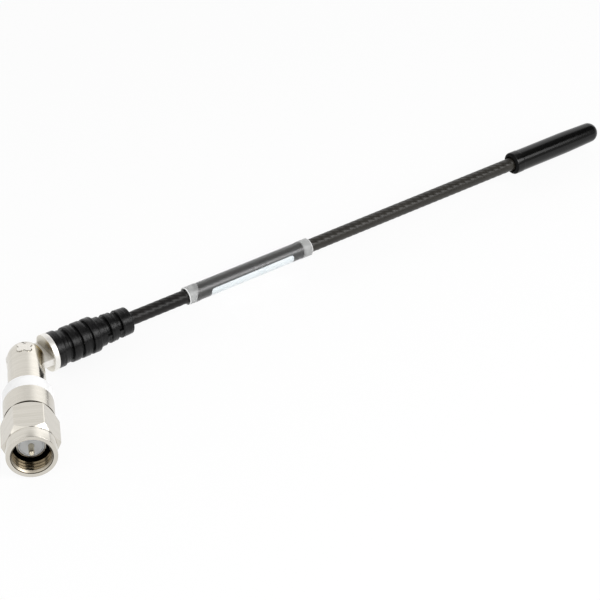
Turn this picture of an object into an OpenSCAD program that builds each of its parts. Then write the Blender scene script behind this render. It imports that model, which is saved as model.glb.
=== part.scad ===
// Whip antenna with a tilting coaxial plug, lying on its side.
// Origin: centre of the plug's mating plane. The plug points along -Y, the hinge axis is +Z.
// All sizes are in millimetres and degrees.

/* [Coupling nut] */
// Distance across the flats of the hexagon
nut_flats = 8; // [7.6:0.1:9]
// Overall length of the nut
nut_len = 8.5; // [8:0.05:10]
// Length of the hexagonal part
nut_hex_len = 6.17; // [5.5:0.01:7.4]
// Diameter of the round nose in front of the hexagon
nut_nose_d = 7.9; // [7.4:0.05:8]
// Diameter of the flat ring left by the chamfer on the rear face
nut_rear_d = 7.7; // [6.8:0.05:7.9]
// Slope of the chamfers on the hexagon's corners
nut_chamfer_angle = 45; // [20:1:60]
// Major diameter of the coupling thread
thread_d = 6.35; // [6:0.05:6.6]
// Depth of the thread from the mouth
thread_len = 5; // [4:0.1:5.2]
// Size of the chamfer round the front edge of the nose
nose_chamfer = 0.12; // [0.05:0.01:0.3]
// Width of the chamfer inside the mouth
mouth_chamfer = 0.16; // [0.05:0.01:0.25]
// How far the mouth stands in front of the mating plane
nut_reach = 2.68; // [2.2:0.02:3]
// Gap between the nut and the collar behind it
nut_gap = 0.16; // [0.08:0.01:0.3]

/* [Plug body] */
// Outside diameter of the front sleeve of the outer conductor
shell_d = 4.6; // [4.4:0.05:4.8]
// Inside diameter of the outer conductor
dielectric_d = 4.1; // [3.8:0.05:4.2]
// Diameter of the neck that the nut turns on
neck_d = 5.5; // [5.3:0.05:5.6]
// Distance from the mating plane to the shoulder that carries the gasket
gasket_seat = 2.2; // [2:0.05:2.3]
// Width of the gasket's section between its bore and its rim
gasket_w = 0.43; // [0.35:0.01:0.5]
// Thickness of the gasket
gasket_len = 0.8; // [0.4:0.05:1.2]
// Diameter of the round collar behind the nut
collar_d = 8; // [7.4:0.1:9]
// Length of the collar
collar_len = 4.05; // [3:0.05:5]
// Size of the chamfer on the collar's front edge
collar_chamfer = 0.12; // [0.05:0.01:0.3]

/* [Retaining ring] */
// Distance from the mating plane to the front of the retaining ring
clip_y = 4.1; // [3.6:0.05:4.6]
// Thickness of the ring along the plug
clip_len = 0.55; // [0.4:0.05:0.7]
// Depth of the groove in the neck
clip_groove_depth = 0.4; // [0.3:0.02:0.5]
// How far the ring stands out of the neck
clip_stand = 0.3; // [0.2:0.02:0.4]
// Angle of the gap in the ring
clip_gap_angle = 40; // [20:1:90]

/* [Contact] */
// Diameter of the contact's front pin and rear tail
pin_d = 0.91; // [0.8:0.01:1]
// Length of the pin in front of the mating plane
pin_reach = 2; // [1.4:0.05:2.2]
// Length of the cone at the pin's tip
pin_tip_len = 0.3; // [0.15:0.05:0.5]
// Diameter of the pin's flat end
pin_tip_d = 0.4; // [0.2:0.05:0.6]
// Diameter of the contact inside the dielectric
contact_d = 1.27; // [1.1:0.01:1.5]
// Length of the contact's tail behind the dielectric
tail_len = 2.2; // [1.4:0.1:3]

/* [Insulator] */
// Diameter of the visible insulator ring
ring_d = 8; // [7.4:0.1:9]
// Length of the visible insulator ring
ring_len = 2.5; // [1.5:0.05:4]
// Radius of the ring's rounded rims
ring_round = 0.15; // [0.05:0.01:0.3]
// Diameter of the bush that sits inside the collar
bush_d = 5; // [4.4:0.1:6]
// Length of the bush
bush_len = 2.8; // [2.4:0.05:3.1]

/* [Hinge fork] */
// Diameter of the fork
fork_d = 6; // [5.6:0.05:6.1]
// Distance from the insulator ring to the hinge axis
fork_reach = 8.75; // [7.5:0.05:12]
// How far the centre of the domed end lies beyond the hinge axis
fork_nose_offset = 0.4; // [0.2:0.05:0.4]
// Diameter of the fork's stem inside the insulator
stem_d = 2.4; // [2:0.1:3]
// Gap between the stem and the dielectric
stem_gap = 0.1; // [0.05:0.01:0.3]
// Room behind the contact's tail in the stem's socket
socket_spare = 0.2; // [0.1:0.05:0.6]
// Width of the slot between the two cheeks
slot_w = 1.3; // [1.26:0.02:1.6]
// Room between the tongue's end and the bottom of the slot
slot_clearance = 0.25; // [0.15:0.05:0.6]

/* [Rivet] */
// Diameter of the rivet's shank
rivet_d = 1.4; // [1:0.05:1.8]
// Diameter of the rivet's heads
rivet_head_d = 2.6; // [2.3:0.05:2.9]
// Height of the rivet's heads
rivet_head_h = 0.42; // [0.35:0.02:0.6]
// Height of the bevel round each head
rivet_bevel = 0.2; // [0.1:0.02:0.3]
// Width of the bevel round each head
rivet_bevel_w = 0.4; // [0.2:0.02:0.6]
// Depth of the head's seat below the top of the fork
rivet_seat_depth = 0.32; // [0.3:0.01:0.34]

/* [Tongue] */
// Width of the tongue
tongue_w = 5.4; // [4.8:0.1:5.8]
// Thickness of the tongue
tongue_t = 1.2; // [1:0.02:1.24]
// Radius of the tongue's round end about the hinge axis
tongue_end_r = 3.1; // [2.95:0.05:3.2]
// Distance from the hinge axis to the flange
flange_y = 3.7; // [3.6:0.05:4.5]
// Diameter of the flange
flange_d = 6.3; // [6:0.1:7]
// Thickness of the flange
flange_len = 0.92; // [0.5:0.02:1.5]
// Outside diameter of the crimped barrel behind the flange
barrel_d = 3.5; // [3:0.1:3.8]
// Length of the barrel
barrel_len = 8; // [6:0.1:9]
// Metal left between the flange's rear face and the end of the cable
barrel_floor = 0.6; // [0.3:0.05:1.5]
// Length of the barrel's wider mouth, which takes the jacket
barrel_mouth_len = 3.6; // [2:0.1:5]

/* [Boot] */
// Diameter of the lip against the flange
boot_lip_d = 6.14; // [5.8:0.02:6.3]
// Length of the lip
boot_lip_len = 1.45; // [0.8:0.05:2]
// Diameter of the land behind the lip
boot_land_d = 5.6; // [5.2:0.02:5.8]
// Length of the land
boot_land_len = 0.85; // [0.6:0.05:1.6]
// Number of thick rings
boot_rings = 3; // [2:1:4]
// Diameter of the thick rings
boot_ring_d = 5.98; // [5.5:0.02:6.1]
// Length of a thick ring
boot_ring_len = 1.38; // [0.9:0.01:1.6]
// Width of the grooves between the thick rings
boot_groove_w = 0.53; // [0.4:0.01:0.9]
// Depth of the grooves between the thick rings
boot_groove_depth = 0.5; // [0.2:0.02:0.56]
// Number of thin rings on the tapering tail
tail_rings = 3; // [2:1:5]
// Diameter at the start of the tail
tail_d = 5.12; // [4.6:0.02:5.3]
// Diameter at the end of the tail
tail_end_d = 4.56; // [4:0.02:4.7]
// Length of the tail
tail_len_total = 6.44; // [4.5:0.02:9]
// Width of the grooves in the tail
tail_groove_w = 0.8; // [0.4:0.02:0.9]
// How much longer the last ring of the tail is than the others
tail_end_extra = 0.65; // [0:0.05:1.5]
// Depth of the grooves in the tail
tail_groove_depth = 0.54; // [0.2:0.02:0.56]
// Number of webs that bridge each groove in the tail
tail_webs = 2; // [1:1:4]
// Angle that a web takes up
tail_web_angle = 30; // [10:1:60]
// Angle of the first web below the horizontal
tail_web_turn = 8; // [-45:1:45]
// How far a web is rooted in the rubber round it
tail_web_root = 0.1; // [0.05:0.01:0.2]
// How far a web stays below the rings beside it
tail_web_recess = 0.2; // [0.18:0.01:0.4]
// Radius of the rounded edges of all rings
boot_round = 0.18; // [0.05:0.01:0.2]

/* [Whip] */
// Angle of the whip from straight, as it lies
whip_tilt = 62; // [0:1:90]
// Outside diameter of the whip's jacket
jacket_d = 2.34; // [2:0.02:2.5]
// Wall thickness of the jacket
jacket_wall = 0.18; // [0.1:0.01:0.25]
// Distance from the hinge axis to the end of the whip inside the cap
whip_end = 118.2; // [105:0.1:160]
// Number of outer strands in the cable
strands = 6; // [3:1:6]

/* [Label] */
// Distance from the hinge axis to the clear sleeve
sleeve_y = 30.4; // [25:0.1:40]
// Length of the clear sleeve
sleeve_len = 25; // [20:0.1:40]
// Outside diameter of the sleeve
sleeve_d = 2.96; // [2.66:0.02:3.04]
// Outside diameter of the sleeve's flared ends
sleeve_end_d = 3.06; // [2.98:0.02:3.3]
// Length of a flared end
sleeve_end_len = 2.2; // [1:0.1:3]
// Length of the blank label under the sleeve
label_len = 16.7; // [10:0.1:18]
// Distance from the near end of the sleeve to the label
label_inset = 4.4; // [3:0.1:6]
// Thickness of the label
label_t = 0.07; // [0.05:0.01:0.09]
// Angle that the label wraps round the whip
label_wrap = 170; // [120:1:300]
// Angle of the label's upper edge above the horizontal
label_top_angle = 20; // [0:1:60]

/* [End cap] */
// Length of the cap
cap_len = 20.1; // [16:0.1:28]
// Diameter of the cap's rolled lip
cap_lip_d = 4; // [3.9:0.02:4.4]
// Length of the lip
cap_lip_len = 1.9; // [1.2:0.1:3]
// Diameter of the cap's body
cap_d = 3.88; // [3.6:0.02:3.98]
// Diameter where the rounded tip begins
cap_tip_d = 3.56; // [3.42:0.02:3.86]
// Radius of the tip's round edge
cap_tip_round = 1.7; // [0.8:0.05:1.75]
// Length of the tapered stretch before the tip
cap_taper_len = 6; // [4:0.1:12]
// Width of the flat rim between the cap's mouth and its rounded lip
cap_rim_w = 0.05; // [0.02:0.01:0.2]
// Diameter of the clearance round the whip at the cap's mouth
cap_mouth_d = 2.9; // [2.5:0.05:3.1]
// Depth of that clearance
cap_mouth_len = 0.6; // [0.3:0.05:1.5]
// Distance from the end of the whip to the cap's tip
cap_end_wall = 2.26; // [1.8:0.02:4]

/* [Clearances] */
// Radial clearance of pieces that are pressed or pushed together
fit = 0.02; // [0.01:0.005:0.04]
// Radial clearance of pieces that turn on each other
run = 0.04; // [0.02:0.005:0.08]

/* [Hidden] */
$fn = 96;
eps = 0.01;
overrun = 1;
arc_steps = 6;
edge_steps = 4;
tip_steps = 8;

nickel = [0.80, 0.76, 0.68];
steel = [0.55, 0.55, 0.55];
gilt = [0.83, 0.68, 0.35];
white = [0.95, 0.95, 0.95];
black = [0.10, 0.10, 0.10];
whip_brown = [0.17, 0.15, 0.14];
clear = [0.85, 0.90, 0.95, 0.3];

// Places along the plug, counted back from the mating plane
nut_front = -nut_reach;
nut_rear = nut_front + nut_len;
hex_front = nut_rear - nut_hex_len;
thread_end = nut_front + thread_len;
collar_front = nut_rear + nut_gap;
collar_rear = collar_front + collar_len;
bush_front = collar_rear - bush_len;
ring_rear = collar_rear + ring_len;
hinge_y = ring_rear + fork_reach;

nut_corner_r = nut_flats / 2 / cos(30);
clip_inner_r = neck_d / 2 - clip_groove_depth + fit;
clip_outer_r = neck_d / 2 + clip_stand;
stem_front = bush_front + stem_gap;
socket_len = tail_len - stem_gap + socket_spare;
rivet_seat_z = fork_d / 2 - rivet_seat_depth;

// Places along the whip, counted from the hinge axis
boot_y = flange_y + flange_len;
barrel_end = boot_y + barrel_len;
jacket_start = barrel_end - barrel_mouth_len;
cable_start = boot_y + barrel_floor;
label_y = sleeve_y + label_inset;
cap_tip = whip_end + cap_end_wall;
cap_y = cap_tip - cap_len;

boot_rings_start = boot_lip_len + boot_land_len + boot_groove_w;
tail_start = boot_rings_start + boot_rings * (boot_ring_len + boot_groove_w) - boot_groove_w;
boot_len = tail_start + tail_len_total;
tail_pitch = (tail_len_total + tail_groove_w - tail_end_extra) / tail_rings;

cable_d = jacket_d - 2 * jacket_wall - 2 * fit;
strand_d = cable_d / 3;
label_inner_r = jacket_d / 2 + fit / 2;
sleeve_inner_r = label_inner_r + label_t + fit;

// Points on an arc about c, from angle a0 to angle a1
function arc(c, r, a0, a1, n = arc_steps) =
    [for (i = [0:n]) c + r * [cos(a0 + (a1 - a0) * i / n), sin(a0 + (a1 - a0) * i / n)]];

// Rounded edges of a boot ring: the near one rises from a groove's floor, the far one ends at its face
function near_edge(y, r, floor_r) =
    concat([[floor_r, y]], arc([r - boot_round, y + boot_round], boot_round, -90, 0, edge_steps));
function far_edge(y, r) = arc([r - boot_round, y - boot_round], boot_round, 0, 90, edge_steps);

function tail_r(y) = (tail_d + (tail_end_d - tail_d) * (y - tail_start) / tail_len_total) / 2;

// Turns a profile of [radius, distance] points about the plug's axis
module turned(angle = 360) { rotate([-90, 0, 0]) rotate_extrude(angle = angle) children(); }

// Moves a piece from the plug's axis to the whip's axis, with its zero at the hinge
module on_whip() { translate([0, hinge_y, 0]) rotate([0, 0, -whip_tilt]) children(); }

module tube(r_in, r_out, y0, y1) {
    turned() translate([r_in, y0]) square([r_out - r_in, y1 - y0]);
}

// Hexagon with chamfered corners and a round nose, threaded in front and grooved behind
module coupling_nut() {
    chamfer_rise = (nut_corner_r - nut_rear_d / 2) * tan(nut_chamfer_angle);
    front_rise = (nut_corner_r - nut_nose_d / 2) * tan(nut_chamfer_angle);
    thread_r = thread_d / 2 + fit;
    neck_bore_r = neck_d / 2 + run;
    groove_r = clip_outer_r + run;
    color(nickel) difference() {
        union() {
            intersection() {
                translate([0, hex_front, 0]) rotate([-90, 0, 0])
                    cylinder(h = nut_hex_len, r = nut_corner_r, $fn = 6);
                turned() polygon([
                    [0, hex_front], [nut_nose_d / 2, hex_front],
                    [nut_corner_r + eps, hex_front + front_rise],
                    [nut_corner_r + eps, nut_rear - chamfer_rise],
                    [nut_rear_d / 2, nut_rear], [0, nut_rear]]);
            }
            turned() polygon([
                [0, nut_front], [nut_nose_d / 2 - nose_chamfer, nut_front],
                [nut_nose_d / 2, nut_front + nose_chamfer],
                [nut_nose_d / 2, hex_front + eps], [0, hex_front + eps]]);
        }
        turned() polygon([
            [0, nut_front - eps], [thread_r + mouth_chamfer + eps, nut_front - eps],
            [thread_r, nut_front + mouth_chamfer], [thread_r, thread_end],
            [neck_bore_r, thread_end + thread_r - neck_bore_r], [neck_bore_r, clip_y - run],
            [groove_r, clip_y - run], [groove_r, clip_y + clip_len + run],
            [neck_bore_r, clip_y + clip_len + run], [neck_bore_r, nut_rear + eps], [0, nut_rear + eps]]);
    }
}

// Split ring that holds the nut on the neck
module retaining_ring() {
    color(steel) rotate([0, clip_gap_angle / 2, 0]) turned(360 - clip_gap_angle)
        translate([clip_inner_r, clip_y]) square([clip_outer_r - clip_inner_r, clip_len]);
}

// Rubber washer at the foot of the front sleeve
module nut_gasket() {
    bore_r = shell_d / 2 + fit;
    color(black) tube(bore_r, bore_r + gasket_w, gasket_seat - gasket_len, gasket_seat);
}

// Outer conductor: front sleeve, neck with a ring groove, and collar
module connector_body() {
    groove_r = neck_d / 2 - clip_groove_depth;
    collar_r = collar_d / 2;
    color(nickel) turned() polygon([
        [dielectric_d / 2, 0], [shell_d / 2, 0], [shell_d / 2, gasket_seat], [neck_d / 2, gasket_seat],
        [neck_d / 2, clip_y - fit], [groove_r, clip_y - fit], [groove_r, clip_y + clip_len + fit],
        [neck_d / 2, clip_y + clip_len + fit], [neck_d / 2, collar_front],
        [collar_r - collar_chamfer, collar_front], [collar_r, collar_front + collar_chamfer],
        [collar_r, collar_rear], [bush_d / 2, collar_rear], [bush_d / 2, bush_front],
        [dielectric_d / 2, bush_front]]);
}

module contact_dielectric() {
    color(white) tube(contact_d / 2 + fit, dielectric_d / 2 - fit, 0, bush_front);
}

// Centre contact: pin in front, core in the dielectric, tail in the fork's stem
module contact_pin() {
    color(gilt) turned() polygon([
        [0, -pin_reach], [pin_tip_d / 2, -pin_reach], [pin_d / 2, pin_tip_len - pin_reach],
        [pin_d / 2, 0], [contact_d / 2, 0], [contact_d / 2, bush_front],
        [pin_d / 2, bush_front], [pin_d / 2, bush_front + tail_len], [0, bush_front + tail_len]]);
}

// Flanged bush that keeps the live fork away from the collar
module insulator_ring() {
    stem_hole_r = stem_d / 2 + fit;
    ring_r = ring_d / 2;
    color(white) turned() polygon(concat(
        [[stem_hole_r, bush_front], [bush_d / 2 - fit, bush_front], [bush_d / 2 - fit, collar_rear]],
        arc([ring_r - ring_round, collar_rear + ring_round], ring_round, -90, 0),
        arc([ring_r - ring_round, ring_rear - ring_round], ring_round, 0, 90),
        [[stem_hole_r, ring_rear]]));
}

// Round fork with a domed end, a slot for the tongue and a stem that reaches the contact
module hinge_fork() {
    fork_r = fork_d / 2;
    nose_y = hinge_y + fork_nose_offset;
    slot_floor = hinge_y - tongue_end_r - slot_clearance;
    slot_depth = fork_r + nose_y - slot_floor + overrun;
    socket_r = pin_d / 2 + fit;
    color(nickel) difference() {
        turned() intersection() {
            union() {
                translate([0, stem_front]) square([stem_d / 2, ring_rear - stem_front + eps]);
                translate([0, ring_rear]) square([fork_r, nose_y - ring_rear]);
                translate([0, nose_y]) circle(fork_r);
            }
            square([fork_r + overrun, nose_y + fork_r + overrun]);
        }
        translate([-fork_r - overrun, slot_floor, -slot_w / 2])
            cube([fork_d + 2 * overrun, slot_depth, slot_w]);
        translate([0, hinge_y, -fork_d]) cylinder(h = 2 * fork_d, r = rivet_d / 2 + fit);
        for (side = [0, 1]) mirror([0, 0, side]) translate([0, hinge_y, rivet_seat_z])
            cylinder(h = fork_r, r = rivet_head_d / 2 + fit);
        tube(0, socket_r, stem_front - eps, stem_front + socket_len);
    }
}

// Rivet with a bevelled head on each cheek of the fork
module hinge_rivet() {
    head_r = rivet_head_d / 2;
    head_top = rivet_seat_z + rivet_head_h;
    color(nickel) translate([0, hinge_y, 0]) union() {
        translate([0, 0, -rivet_seat_z - eps]) cylinder(h = 2 * (rivet_seat_z + eps), r = rivet_d / 2);
        for (side = [0, 1]) mirror([0, 0, side]) rotate_extrude() polygon([
            [0, rivet_seat_z], [head_r, rivet_seat_z], [head_r, head_top - rivet_bevel],
            [head_r - rivet_bevel_w, head_top], [0, head_top]]);
    }
}

// Flat tongue between the cheeks, with the flange and the crimped barrel behind it
module hinge_tongue() {
    cable_hole_r = cable_d / 2 + fit;
    jacket_hole_r = jacket_d / 2 + fit;
    color(nickel) on_whip() difference() {
        union() {
            translate([0, 0, -tongue_t / 2]) linear_extrude(tongue_t) union() {
                intersection() {
                    circle(tongue_end_r);
                    square([tongue_w, 2 * tongue_end_r], center = true);
                }
                translate([-tongue_w / 2, 0]) square([tongue_w, flange_y + eps]);
            }
            tube(0, flange_d / 2, flange_y, boot_y);
            tube(0, barrel_d / 2, boot_y - eps, barrel_end);
        }
        translate([0, 0, -tongue_t]) cylinder(h = 2 * tongue_t, r = rivet_d / 2 + run);
        tube(0, cable_hole_r, cable_start - fit, barrel_end + eps);
        tube(0, jacket_hole_r, jacket_start - fit, barrel_end + eps);
    }
}

module cable_core() {
    color(steel) on_whip() tube(0, strand_d / 2, cable_start, whip_end);
}

// One outer strand, drawn without its lay
module cable_strand(i) {
    color(steel) on_whip() rotate([0, i * 360 / strands, 0]) translate([strand_d, 0, 0])
        tube(0, strand_d / 2 - fit / 2, cable_start, whip_end);
}

module whip_jacket() {
    color(whip_brown) on_whip() tube(jacket_d / 2 - jacket_wall, jacket_d / 2, jacket_start, whip_end);
}

// Web across the groove in front of the tail ring that starts at y
module tail_web(y) {
    ring_r = tail_r(y);
    root_r = ring_r - tail_groove_depth - tail_web_root;
    turned(tail_web_angle) translate([root_r, y - tail_groove_w - tail_web_root])
        square([ring_r - tail_web_recess - root_r, tail_groove_w + 2 * tail_web_root]);
}

// Ribbed rubber boot: lip, land, thick rings and a tapering tail of thin rings
module strain_relief_boot() {
    ring_r = boot_ring_d / 2;
    floor_r = ring_r - boot_groove_depth;
    ring_pitch = boot_ring_len + boot_groove_w;
    land_end = boot_lip_len + boot_land_len;
    front = concat(
        [[boot_lip_d / 2, 0]], far_edge(boot_lip_len, boot_lip_d / 2),
        [[boot_land_d / 2, boot_lip_len + boot_round]], far_edge(land_end, boot_land_d / 2),
        [[floor_r, land_end]]);
    rings = [for (i = [0:boot_rings - 1])
        let (y = boot_rings_start + i * ring_pitch, y_end = y + boot_ring_len)
        each concat(near_edge(y, ring_r, floor_r), far_edge(y_end, ring_r),
                    i < boot_rings - 1 ? [[floor_r, y_end]] : [])];
    tail = [for (i = [0:tail_rings - 1])
        let (y = tail_start + i * tail_pitch, y_next = y + tail_pitch,
             y_end = i < tail_rings - 1 ? y_next - tail_groove_w : boot_len,
             r = tail_r(y), r_end = tail_r(y_end))
        each concat(i == 0 ? [[r, y]] : near_edge(y, r, r - tail_groove_depth), far_edge(y_end, r_end),
                    i < tail_rings - 1 ? [[tail_r(y_next) - tail_groove_depth, y_end]] : [])];
    jacket_hole_r = jacket_d / 2 + fit;
    barrel_hole_r = barrel_d / 2 + fit;
    barrel_depth = barrel_len + fit;
    inside = [[jacket_hole_r, boot_len], [jacket_hole_r, barrel_depth], [barrel_hole_r, barrel_depth],
              [barrel_hole_r, 0]];
    color(black) on_whip() translate([0, boot_y, 0]) union() {
        turned() polygon(concat(front, rings, tail, inside));
        for (i = [1:tail_rings - 1], k = [0:tail_webs - 1])
            rotate([0, tail_web_turn - tail_web_angle / 2 + k * 360 / tail_webs, 0])
                tail_web(tail_start + i * tail_pitch);
    }
}

// Blank label wrapped part of the way round the jacket
module label_strip() {
    color(white) on_whip() rotate([0, -label_top_angle, 0]) turned(label_wrap)
        translate([label_inner_r, label_y]) square([label_t, label_len]);
}

// Clear sleeve over the label, flared at both ends
module label_sleeve() {
    step = (sleeve_end_d - sleeve_d) / 2;
    end = sleeve_y + sleeve_len;
    color(clear) on_whip() turned() polygon([
        [sleeve_inner_r, sleeve_y], [sleeve_end_d / 2, sleeve_y],
        [sleeve_end_d / 2, sleeve_y + sleeve_end_len - step], [sleeve_d / 2, sleeve_y + sleeve_end_len],
        [sleeve_d / 2, end - sleeve_end_len], [sleeve_end_d / 2, end - sleeve_end_len + step],
        [sleeve_end_d / 2, end], [sleeve_inner_r, end]]);
}

// Closed cap with a rolled lip, a slight taper and a rounded tip
module end_cap() {
    lip_round = (cap_lip_d - cap_mouth_d) / 2 - cap_rim_w;
    bore_r = jacket_d / 2 + fit;
    tip_y = cap_tip - cap_tip_round;
    color(black) on_whip() turned() polygon(concat(
        [[bore_r, cap_y + cap_mouth_len], [cap_mouth_d / 2, cap_y]],
        arc([cap_lip_d / 2 - lip_round, cap_y + lip_round], lip_round, -90, 0),
        [[cap_lip_d / 2, cap_y + cap_lip_len - (cap_lip_d - cap_d)], [cap_d / 2, cap_y + cap_lip_len],
         [cap_d / 2, tip_y - cap_taper_len]],
        arc([cap_tip_d / 2 - cap_tip_round, tip_y], cap_tip_round, 0, 90, tip_steps),
        [[0, cap_tip], [0, whip_end + fit], [bore_r, whip_end + fit]]));
}

coupling_nut();
retaining_ring();
nut_gasket();
connector_body();
contact_dielectric();
contact_pin();
insulator_ring();
hinge_fork();
hinge_rivet();
hinge_tongue();
cable_core();
for (i = [1:strands]) cable_strand(i);
whip_jacket();
strain_relief_boot();
label_strip();
label_sleeve();
end_cap();
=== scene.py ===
import bpy
import math
from mathutils import Matrix, Vector


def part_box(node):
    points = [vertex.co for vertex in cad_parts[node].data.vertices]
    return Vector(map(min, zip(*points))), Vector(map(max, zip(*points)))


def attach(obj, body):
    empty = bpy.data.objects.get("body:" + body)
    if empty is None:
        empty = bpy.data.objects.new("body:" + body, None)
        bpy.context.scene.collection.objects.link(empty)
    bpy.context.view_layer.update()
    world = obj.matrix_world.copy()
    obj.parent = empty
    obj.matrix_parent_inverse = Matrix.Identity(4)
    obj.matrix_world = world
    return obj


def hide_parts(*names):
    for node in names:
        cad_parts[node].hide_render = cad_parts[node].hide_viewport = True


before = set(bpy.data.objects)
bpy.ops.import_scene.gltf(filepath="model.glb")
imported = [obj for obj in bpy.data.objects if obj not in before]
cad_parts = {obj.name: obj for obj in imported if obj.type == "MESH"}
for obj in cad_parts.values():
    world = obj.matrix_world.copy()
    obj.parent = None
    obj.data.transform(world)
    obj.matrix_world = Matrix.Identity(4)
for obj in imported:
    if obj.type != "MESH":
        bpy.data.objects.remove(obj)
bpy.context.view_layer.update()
mm = 0.001  # pieces are modelled in millimetres along +Y, then brought to metres where they belong
touch = 0.01  # places this near each other, in millimetres, count as one
standOut = 1.0  # how far a cutting shape runs past the piece, in millimetres
facing = 0.9  # share of a normal along an axis from which a face counts as facing that way
noiseSpread = (0.3, 0.7)  # most of the noise lies between these
print("frame loaded:", len(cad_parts), "nodes")


# Places from the frame

def spanAlongPlug(node):
    low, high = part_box(node)
    return low.y / mm, high.y / mm


nutFront, nutRear = spanAlongPlug("coupling_nut")
bodyFront, collarRear = spanAlongPlug("connector_body")
bushFront, ringRear = spanAlongPlug("insulator_ring")
gasketFront, gasketRear = spanAlongPlug("nut_gasket")
pinTip, pinTail = spanAlongPlug("contact_pin")
forkFront, forkEnd = spanAlongPlug("hinge_fork")

rivetLow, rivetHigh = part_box("hinge_rivet")
coreLow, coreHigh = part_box("cable_core")
hinge = (rivetLow + rivetHigh) / 2
hingeAlong = hinge.y / mm
whipLean = (coreLow + coreHigh) / 2 - hinge
whipTilt = math.atan2(whipLean.x, whipLean.y)
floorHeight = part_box("coupling_nut")[0].z


# Handling of pieces

def clearSelection():
    bpy.ops.object.select_all(action="DESELECT")


def takeInHand(*pieces):
    clearSelection()
    for piece in pieces:
        piece.select_set(True)
    bpy.context.view_layer.objects.active = pieces[0]


def freshPiece(name):
    piece = bpy.context.object
    piece.name = name
    piece.data.name = name
    bpy.ops.object.transform_apply(location=True, rotation=True, scale=True)
    return piece


def pickIn(piece, kind, test):
    # selects the vertices, edges or faces that pass the test, ready for edit mode
    takeInHand(piece)
    bpy.context.tool_settings.mesh_select_mode = (kind == "vertices", kind == "edges", kind == "polygons")
    for group in (piece.data.vertices, piece.data.edges, piece.data.polygons):
        for item in group:
            item.select = False
    for item in getattr(piece.data, kind):
        item.select = test(item)
    bpy.ops.object.mode_set(mode="EDIT")


def putDown():
    bpy.ops.object.mode_set(mode="OBJECT")


def mergeAndFaceOut(piece, gap=0.0004):
    takeInHand(piece)
    bpy.ops.object.mode_set(mode="EDIT")
    bpy.ops.mesh.select_all(action="SELECT")
    bpy.ops.mesh.remove_doubles(threshold=gap)
    bpy.ops.mesh.normals_make_consistent(inside=False)
    putDown()


def arc(radius, along, bend, start, end, steps=6):
    turn = [math.radians(start + (end - start) * i / steps) for i in range(steps + 1)]
    return [(radius + bend * math.cos(a), along + bend * math.sin(a)) for a in turn]


def turnOnLathe(name, outline, sides=128, closed=False):
    # outline is a list of (radius, distance along the axis); a closed one runs back to its start
    points = outline + outline[:1] if closed else outline
    clearSelection()
    bpy.ops.mesh.primitive_circle_add(vertices=sides, radius=points[0][0], location=(0, points[0][1], 0),
                                      rotation=(-math.pi / 2, 0, 0))
    piece = freshPiece(name)
    bpy.context.tool_settings.mesh_select_mode = (True, False, False)
    bpy.ops.object.mode_set(mode="EDIT")
    bpy.ops.mesh.select_all(action="SELECT")
    if not closed:
        bpy.ops.mesh.edge_face_add()  # flat start
    for (radius, along), (nextRadius, nextAlong) in zip(points, points[1:]):
        bpy.ops.mesh.extrude_region_move(
            TRANSFORM_OT_translate={"value": (0, nextAlong - along, 0), "orient_type": "GLOBAL"})
        if nextRadius == 0:
            bpy.ops.mesh.merge(type="CENTER")
        elif nextRadius != radius:
            scale = nextRadius / radius
            bpy.ops.transform.resize(value=(scale, 1, scale), center_override=(0, nextAlong, 0))
    putDown()
    mergeAndFaceOut(piece)
    return piece


def combine(piece, tool, operation):
    takeInHand(piece)
    modifier = piece.modifiers.new("combine", "BOOLEAN")
    modifier.object = tool
    modifier.operation = operation
    modifier.solver = "EXACT"
    bpy.ops.object.modifier_apply(modifier=modifier.name)
    bpy.data.objects.remove(tool)


def joinInto(piece, *others):
    takeInHand(piece, *others)
    bpy.ops.object.join()


def softenEdges(piece, width, segments, limit):
    takeInHand(piece)
    modifier = piece.modifiers.new("soften", "BEVEL")
    modifier.width = width
    modifier.segments = segments
    modifier.limit_method = "ANGLE"
    modifier.angle_limit = math.radians(limit)
    bpy.ops.object.modifier_apply(modifier=modifier.name)


def fromAxis(face):
    return math.hypot(face.center.x, face.center.z)

def paintFaces(piece, materials, tests):
    # the first finish is for the whole piece, each further one for the faces that pass its test
    for material in materials:
        piece.data.materials.append(material)
    for slot, test in enumerate(tests, 1):
        piece.active_material_index = slot
        pickIn(piece, "polygons", test)
        bpy.ops.object.material_slot_assign()
        putDown()


def finishPiece(piece, body, nodes, materials, onWhip=False, smooth=32):
    piece.scale = (mm, mm, mm)
    if onWhip:
        piece.rotation_euler = (0, 0, -whipTilt)
        piece.location = hinge
    takeInHand(piece)
    bpy.ops.object.transform_apply(location=True, rotation=True, scale=True)
    bpy.ops.object.shade_smooth_by_angle(angle=math.radians(smooth))
    # small rounds don't bend the shine of long faces
    modifier = piece.modifiers.new("evenShine", "WEIGHTED_NORMAL")
    modifier.keep_sharp = True
    bpy.ops.object.modifier_apply(modifier=modifier.name)
    if not piece.data.materials:
        for material in materials:
            piece.data.materials.append(material)
    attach(piece, body)
    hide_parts(*nodes)
    print("made", piece.name, "with", len(piece.data.polygons), "faces")
    return piece


# Finishes

def newFinish(name):
    material = bpy.data.materials.new(name)
    material.use_nodes = True
    return material, material.node_tree.nodes, material.node_tree.links


def placedPattern(nodes, links, scale, turn=0.0):
    # object coordinates in metres, stretched and turned about the vertical
    coordinates = nodes.new("ShaderNodeTexCoord")
    mapping = nodes.new("ShaderNodeMapping")
    mapping.vector_type = "TEXTURE"
    mapping.inputs["Rotation"].default_value = (0, 0, turn)
    mapping.inputs["Scale"].default_value = [1 / s for s in scale]
    links.new(coordinates.outputs["Object"], mapping.inputs["Vector"])
    return mapping.outputs["Vector"]


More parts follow.
